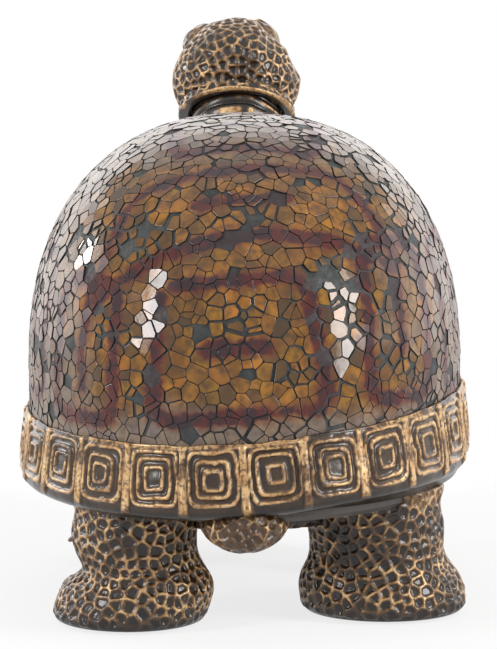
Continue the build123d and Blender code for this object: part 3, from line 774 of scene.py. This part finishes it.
    patchy = (noise(flat, 11 * MM, 33) + 0.6 * noise(flat, 2.2 * MM, 34)).reshape(tall.shape)
    gold = np.maximum(scute_height, bar_height) * (0.5 + 0.5 * smooth(patchy, -1.0, 0.0))
    gold = np.maximum(gold, 0.11 * on_face * outer)
    gold = np.maximum(gold, lip * smooth(patchy, -0.5, 0.3) * 0.9)
    gold = np.maximum(gold, lump * 0.95)
    store(mesh, "gold", gold[::-1].ravel())
    return new_piece("rim_carving", mesh, material, "shell_rim")


# Scaly castings

def casting(node, cell, relief, material, rounds=3, shape=None):
    """A node rebuilt in fine quads, raised by a relief that also says where the gold is."""
    mesh = even_mesh(node, cell)
    points, edges = read(mesh)
    points = relaxed(points, edges, rounds)
    if shape:
        points = shape(points)
    place(mesh, points)
    normals = vertex_normals(mesh)
    height, gold = relief(points, normals)
    place(mesh, points + normals * height[:, None])
    mesh.polygons.foreach_set("use_smooth", np.ones(len(mesh.polygons), bool))
    store(mesh, "gold", np.clip(gold, 0, 1))
    return new_piece(node + "_casting", mesh, material, node)


def net_relief(points, pitch, line, depth, seed):
    """Height and gold of a raised net between sunken scales."""
    edge, number = scale_cells(points, pitch, seed)
    edge = np.maximum(edge + 0.12 * MM * noise(points, 1.6 * MM, seed + 1), 0)
    net = 1 - smooth(edge, 0.1 * line, 1.3 * line)
    belly = smooth(edge, 1.3 * line, 3.0 * line)
    height = depth * (net - 0.5) + 0.25 * depth * belly * (number - 0.3)
    broken = 0.55 + 0.45 * smooth(noise(points, 3.2 * MM, seed + 7) + 0.6 * noise(points, 1.3 * MM, seed + 8), -0.5, 0.4)
    return height, (1 - smooth(edge, 0.0, 1.15 * line)) * broken


def leg_relief(node, seed):
    """Relief of a leg: scales in a gold net, a flat sole and top, smooth claws."""
    (foot_x, foot_y), (half_width, half_depth) = FEET[node]
    low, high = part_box(node)

    def relief(points, normals):
        height, gold = net_relief(points, 3.9 * MM, 1.0 * MM, 1.0 * MM, seed)
        across = (points[:, 0] / MM - foot_x) / half_width
        along = ((points[:, 1] - SHELL_Y) / MM - foot_y) / half_depth
        claw = smooth(np.hypot(across, along), 1.13, 1.22) * smooth(-points[:, 2], -16 * MM, -12 * MM)
        body = smooth(points[:, 2], low.z + 0.8 * MM, low.z + 3 * MM)
        body = body * (1 - smooth(points[:, 2], high.z - 2 * MM, high.z - 0.6 * MM)) * (1 - claw)
        swell = 0.9 * MM * noise(points, 17 * MM, seed + 2)
        patchy = noise(points, 13 * MM, seed + 3) + 0.5 * noise(points, 4 * MM, seed + 4)
        gold = gold * smooth(patchy, -1.1, -0.1) * smooth(points[:, 2], low.z + 1.5 * MM, low.z + 8 * MM)
        cuff = smooth(points[:, 2] + 3.5 * MM * patchy, high.z - 9 * MM, high.z - 4 * MM) * 0.5
        return (height + swell) * body, np.maximum(np.maximum(gold, cuff), claw * 0.5)
    return relief


def instep(points):
    """The hind left leg drawn in above its foot, on the outer side."""
    outer = smooth(FEET["hind_left_leg"][0][0] * MM - points[:, 0], 10 * MM, 24 * MM)
    points[:, 0] += 3.2 * MM * outer * np.exp(-((points[:, 2] - 23 * MM) / (5 * MM)) ** 2)
    return points


def neck_place(points):
    """Distance of points along the neck's upper end and away from its line; 0 is where the skull begins."""
    axis = np.array([0, math.sin(NECK_LEAN), math.cos(NECK_LEAN)])
    offset = points - np.array(NECK_TOP)
    depth = offset @ axis
    return depth, np.linalg.norm(offset - depth[:, None] * axis, axis=1)


def head_shape(points):
    """The hood drawn up along the neck, the brows pressed flat and the right temple pressed in."""
    axis = np.array([0, math.sin(NECK_LEAN), math.cos(NECK_LEAN)])
    depth, from_axis = neck_place(points)
    beyond = np.minimum(depth + HOOD_BEND, 0) * (1 - smooth(from_axis, NECK_RADIUS + 8 * MM, NECK_RADIUS + 12 * MM))
    points = points - (beyond * (1 - (HOOD_EDGE - HOOD_BEND) / (HOOD_DEPTH - HOOD_BEND)))[:, None] * axis
    share = (points[:, 1] - HEAD_BACK) / HEAD_LENGTH
    aside = points[:, 0] - NECK_TOP.x
    up = points[:, 2] - HEAD_AXIS_Z
    rear = 1 - smooth(share, 0.64, 0.76)
    right = rear * smooth(aside, 6 * MM, 17 * MM) * smooth(up, 0, 9 * MM)
    left = rear * smooth(-aside, 8 * MM, 16 * MM) * smooth(up, 10 * MM, 18 * MM)
    crown = rear * np.exp(-((aside + 3 * MM) / (9 * MM)) ** 2) * smooth(up, 14 * MM, 21 * MM)
    saddle = rear * np.exp(-((np.abs(aside + 1 * MM) - 13 * MM) / (4.5 * MM)) ** 2) * smooth(up, 13 * MM, 19 * MM)
    points[:, 0] -= (3.2 - 1.0 * smooth(up, 11 * MM, 17 * MM)) * MM * right
    points[:, 2] += (1.0 * crown + 1.3 * saddle - 0.3 * left - 1.4 * right * smooth(up, 12 * MM, 20 * MM)) * MM
    return points


def head_relief(points, normals):
    """Relief of the head: a net behind and on top, lids, mouth and nostrils in front."""
    share = (points[:, 1] - HEAD_BACK) / HEAD_LENGTH
    up = points[:, 2] - HEAD_AXIS_Z
    aside = np.abs(points[:, 0] - NECK_TOP.x)
    height, gold = net_relief(points, 3.7 * MM, 0.95 * MM, 0.9 * MM, 61)
    face = smooth(share, 0.66, 0.86)
    brow = smooth(np.hypot(np.abs(np.abs(points[:, 0] - NECK_TOP.x) - 17 * MM), up - 19 * MM), 4 * MM, 12 * MM)
    brow = (1 - brow) * smooth(share, 0.3, 0.42)
    net = (1 - 0.85 * face) * (1 - 0.8 * brow)

    # Lip of the hood around the neck
    depth, from_axis = neck_place(points)
    lip = 1 - smooth(depth, -HOOD_EDGE + 0.3 * MM, -HOOD_EDGE + 1.5 * MM)
    outside = smooth(from_axis, NECK_RADIUS + 1.5 * MM, NECK_RADIUS + 2.5 * MM)
    brink = smooth(from_axis, NECK_RADIUS + 4.0 * MM, NECK_RADIUS + 5.4 * MM)

    # Lids around the eyes
    lids = np.zeros(len(points))
    for eye in ("eye_left", "eye_right"):
        eye_low, eye_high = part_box(eye)
        gap = np.linalg.norm(points - np.array((eye_low + eye_high) / 2), axis=1) - (eye_high.x - eye_low.x) / 2
        lids = np.maximum(lids, np.exp(-((gap - 1.5 * MM) / (1.3 * MM)) ** 2))

    # Mouth from below the beak to below the eyes, and nostrils
    mouth_line = -9.5 * MM + 3.0 * MM * np.sin((share - 0.6) * 9)
    mouth = np.exp(-((up - mouth_line) / (0.9 * MM)) ** 2) * smooth(share, 0.54, 0.62)
    nostril = np.exp(-((aside - 4.2 * MM) / (1.3 * MM)) ** 2 - ((up + 2.0 * MM) / (1.2 * MM)) ** 2)
    nostril = nostril * smooth(share, 0.9, 0.93)
    height = height * net * (1 - lids) * (1 - lip) * (1 - mouth) + 1.3 * MM * lids + 0.7 * MM * lip * outside
    height = height - 1.5 * MM * mouth - 1.6 * MM * nostril + 0.5 * MM * noise(points, 11 * MM, 62)
    patchy = noise(points, 12 * MM, 63) + 0.5 * noise(points, 4 * MM, 64)
    gold = gold * net * smooth(patchy, -1.3, -0.4)
    gold = np.maximum(gold * (1 - lip * outside), brow * 0.56)
    gold = np.maximum(gold, lip * brink * 0.95 * smooth(patchy, -1.0, 0.0))
    gold = np.maximum(gold, lids * 0.6 * smooth(patchy, -0.8, 0.2))
    gold = np.maximum(gold, face * 0.35 * smooth(patchy, 0.0, 0.7))
    inside = (from_axis < NECK_RADIUS + 1.5 * MM) & (depth < 1 * MM)
    return np.where(inside, 0, height), np.where(inside, 0, gold * (1 - mouth))


def neck_relief(points, normals):
    """Relief of the neck: dark ring folds that fade into scales towards the chest."""
    line = np.array([(SHELL_Y + before * MM, height * MM) for before, height in NECK_LINE])
    spots = points[:, 1:]
    best = np.full(len(points), 1e9)
    travel = np.zeros(len(points))
    start = 0.0
    for here, there in zip(line[:-1], line[1:]):
        way = there - here
        length = np.linalg.norm(way)
        share = np.clip((spots - here) @ way / length ** 2, 0, 1)
        gap = np.linalg.norm(spots - here - share[:, None] * way, axis=1)
        closer = gap < best
        best = np.where(closer, gap, best)
        travel = np.where(closer, start + share * length, travel)
        start += length
    wander = noise(points, 15 * MM, 71)
    wave = np.abs(np.sin(math.pi * travel / FOLD_PITCH + 1.1 * wander))
    net, net_gold = net_relief(points, 4.6 * MM, 1.0 * MM, 0.8 * MM, 72)
    upper = smooth(points[:, 2], 125 * MM, 165 * MM)
    height = upper * 1.0 * MM * (wave ** 0.7 - 0.6) + (1 - upper) * net
    patchy = noise(points, 8 * MM, 73) + 0.5 * noise(points, 3 * MM, 74)
    gold = upper * smooth(wave, 0.84, 0.98) * smooth(patchy, -0.2, 0.4)
    gold = np.maximum(gold, (1 - upper) * net_gold * smooth(patchy, -1.2, -0.3))
    sealed = smooth(neck_place(points)[0], -HOOD_EDGE - 0.5 * MM, -HOOD_EDGE + 1.0 * MM)
    pan_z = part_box("body_pan")[0].z
    seated = smooth(points[:, 2], pan_z - 1.5 * MM, pan_z - 0.4 * MM) * (points[:, 1] < SHELL_Y + 118 * MM)
    return height * (1 - sealed) * (1 - seated), gold


def tail_relief(points, normals):
    """Relief of the tail: long dark scales, gold at the root."""
    low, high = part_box("tail")
    drawn = points * np.array([1, 0.55, 1])
    height, gold = net_relief(drawn, 3.4 * MM, 0.8 * MM, 0.9 * MM, 81)
    patchy = noise(points, 7 * MM, 82) + 0.5 * noise(points, 2.5 * MM, 83)
    root = smooth(points[:, 1] + 3 * MM * patchy, high.y - 26 * MM, high.y - 14 * MM)
    flank = smooth(np.abs(points[:, 0]), 5 * MM, 11 * MM)
    gold = np.maximum(gold * smooth(patchy, -0.9, 0.1) * (0.6 + 0.4 * flank), root * 0.9 * smooth(patchy, -1.0, 0.1))
    gold = np.maximum(gold, 0.28)
    held = 1 - smooth(points[:, 2], high.z - 1.2 * MM, high.z - 0.4 * MM)
    return height * held, gold


def plastron_relief(points, normals):
    """Relief of the belly plate: seams between its scutes and growth lines."""
    low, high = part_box("plastron")
    along = (points[:, 1] - SHELL_Y) / MM
    across = points[:, 0] / MM
    waver = 1.6 * noise(points, 14 * MM, 91)
    seam = np.abs(across + waver)
    for place_y in (-52, -24, 4, 32, 58):
        seam = np.minimum(seam, np.abs(along + 0.10 * np.abs(across) - place_y + waver))
    groove = 1 - smooth(seam, 0.5, 1.9)
    growth = np.abs(np.sin(seam * 0.85))
    below = smooth(-normals[:, 2], 0.2, 0.7)
    patchy = noise(points, 14 * MM, 92)
    gold = (0.6 * smooth(growth, 0.82, 0.97) * smooth(patchy, -0.2, 0.4) + 0.5 * smooth(seam, 1.6, 2.4)
            * (1 - smooth(seam, 2.4, 3.6))) * below
    return (0.35 * MM * growth - 1.1 * MM * groove) * below, gold


# Studio

def studio():
    """White floor and surroundings, soft boxes on both sides, wide ones behind the object and one overhead."""
    floor_mesh = bpy.data.meshes.new("floor")
    reach = 40
    floor_mesh.from_pydata([(-reach, -reach, 0), (reach, -reach, 0), (reach, reach, 0), (-reach, reach, 0)], [],
                           [(0, 1, 2, 3)])
    floor = bpy.data.objects.new("floor", floor_mesh)
    scene.collection.objects.link(floor)
    material, tree, shader = new_material("floor_white", Roughness=0.9, Specular_IOR_Level=0.1)
    pale = blend(tree, grain(tree, 3.0), (0.86, 0.86, 0.86, 1), (0.90, 0.90, 0.90, 1))
    tree.links.new(pale, shader.inputs["Base Color"])
    path = add_node(tree, "LightPath")
    white = add_node(tree, "Emission", {"Color": (1, 1, 1, 1), "Strength": 1.0})
    away = add_node(tree, "VectorMath", {0: add_node(tree, "TexCoord").outputs["Object"]}, operation="LENGTH")
    clear = span(tree, away.outputs["Value"], 0.25, 0.75, 0.78, 1.0)
    seen = combine(tree, "MAXIMUM", path.outputs["Is Camera Ray"], path.outputs["Is Glossy Ray"])
    seen = combine(tree, "MAXIMUM", seen, path.outputs["Is Transmission Ray"])
    share = combine(tree, "MULTIPLY", seen, clear)
    mixed = add_node(tree, "MixShader", {0: share, 1: shader.outputs[0], 2: white.outputs[0]})
    tree.links.new(mixed.outputs[0], tree.nodes["Material Output"].inputs["Surface"])
    floor_mesh.materials.append(material)

    world = bpy.data.worlds.new("studio")
    scene.world = world
    world.use_nodes = True
    tree = world.node_tree
    path = add_node(tree, "LightPath")
    seen = combine(tree, "MAXIMUM", path.outputs["Is Camera Ray"], path.outputs["Is Glossy Ray"])
    seen = combine(tree, "MAXIMUM", seen, path.outputs["Is Transmission Ray"])
    strength = span(tree, seen, 0, 1, 0.34, 1.0)
    tree.links.new(strength, tree.nodes["Background"].inputs["Strength"])
    tree.nodes["Background"].inputs["Color"].default_value = (1, 1, 1, 1)

    target = Vector((0, SHELL_Y, 0.13))
    boxes = [  # turn from the camera, elevation, distance, size, power
        (-61, 19, 1.5, (0.30, 0.75), 13), (65, 19, 1.5, (0.38, 1.0), 19), (-118, 18, 1.5, (0.22, 0.22), 3),
        (-132, 10, 1.7, (1.5, 0.9), 7), (132, 10, 1.7, (1.5, 0.9), 5), (180, 22, 1.8, (1.8, 0.9), 8),
        (0, 78, 2.0, (3.0, 3.0), 9)]
    for number, (turn, rise, away, size, power) in enumerate(boxes):
        light = bpy.data.lights.new(f"softbox_{number}", "AREA")
        light.shape = "RECTANGLE"
        light.size, light.size_y = size
        light.energy = power
        lamp = bpy.data.objects.new(f"softbox_{number}", light)
        scene.collection.objects.link(lamp)
        side, up = math.radians(turn), math.radians(rise)
        way = Vector((math.sin(side) * math.cos(up), -math.cos(side) * math.cos(up), math.sin(up)))
        lamp.location = target + way * away
        lamp.rotation_euler = way.to_track_quat("Z", "Y").to_euler()


def camera():
    """The camera behind the tortoise, a little above it, with a long lens."""
    aim = Vector((1.8 * MM, SHELL_Y, 121 * MM))
    rise = math.radians(7.5)
    way = Vector((0, -math.cos(rise), math.sin(rise)))
    lens = bpy.data.cameras.new("camera")
    lens.sensor_width = 36
    lens.lens = 211.7
    eye = bpy.data.objects.new("camera", lens)
    eye.location = aim + way * 1.7
    eye.rotation_euler = way.to_track_quat("Z", "Y").to_euler()
    scene.collection.objects.link(eye)
    scene.camera = eye


# Putting it together
glass, bronze = glass_material(), bronze_material()
glass_pieces(glass)
grout_piece(grout_material())
rim_piece(bronze)
for number, leg_name in enumerate(FEET):
    drawn_in = instep if leg_name == "hind_left_leg" else None
    casting(leg_name, 0.55 * MM, leg_relief(leg_name, 143 + 5 * number), bronze, shape=drawn_in)
casting("head", 0.5 * MM, head_relief, bronze, shape=head_shape)
casting("neck", 0.62 * MM, neck_relief, bronze)
casting("tail", 0.5 * MM, tail_relief, bronze)
casting("plastron", 0.8 * MM, plastron_relief, bronze, rounds=1)

resin = plain_material("raw_resin", (0.028, 0.023, 0.020), (0.062, 0.050, 0.042), 220, (0.4, 0.6), 0.25)
wood = plain_material("dowel_wood", (0.36, 0.22, 0.11), (0.58, 0.40, 0.22), 260, (0.5, 0.7), 0.3, (1, 1, 0.08))
rubber = plain_material("plug_rubber", (0.012, 0.012, 0.012), (0.03, 0.03, 0.03), 600, (0.55, 0.75), 0.2)
felt = plain_material("felt", (0.03, 0.024, 0.02), (0.085, 0.07, 0.06), 1500, (0.85, 1.0), 0.8, Sheen_Weight=0.3)
finishes = {
    resin: ["shell_dome", "body_pan"], wood: ["leg_dowels", "neck_dowel", "head_dowel", "tail_dowel"],
    rubber: ["pour_plug"], felt: ["felt_pads"], eye_material(): ["eye_left", "eye_right"]}
for finish, names in finishes.items():
    for node_name in names:
        node_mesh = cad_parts[node_name].data
        node_mesh.materials.clear()
        node_mesh.materials.append(finish)

studio()
camera()
scene.view_settings.view_transform = "Standard"
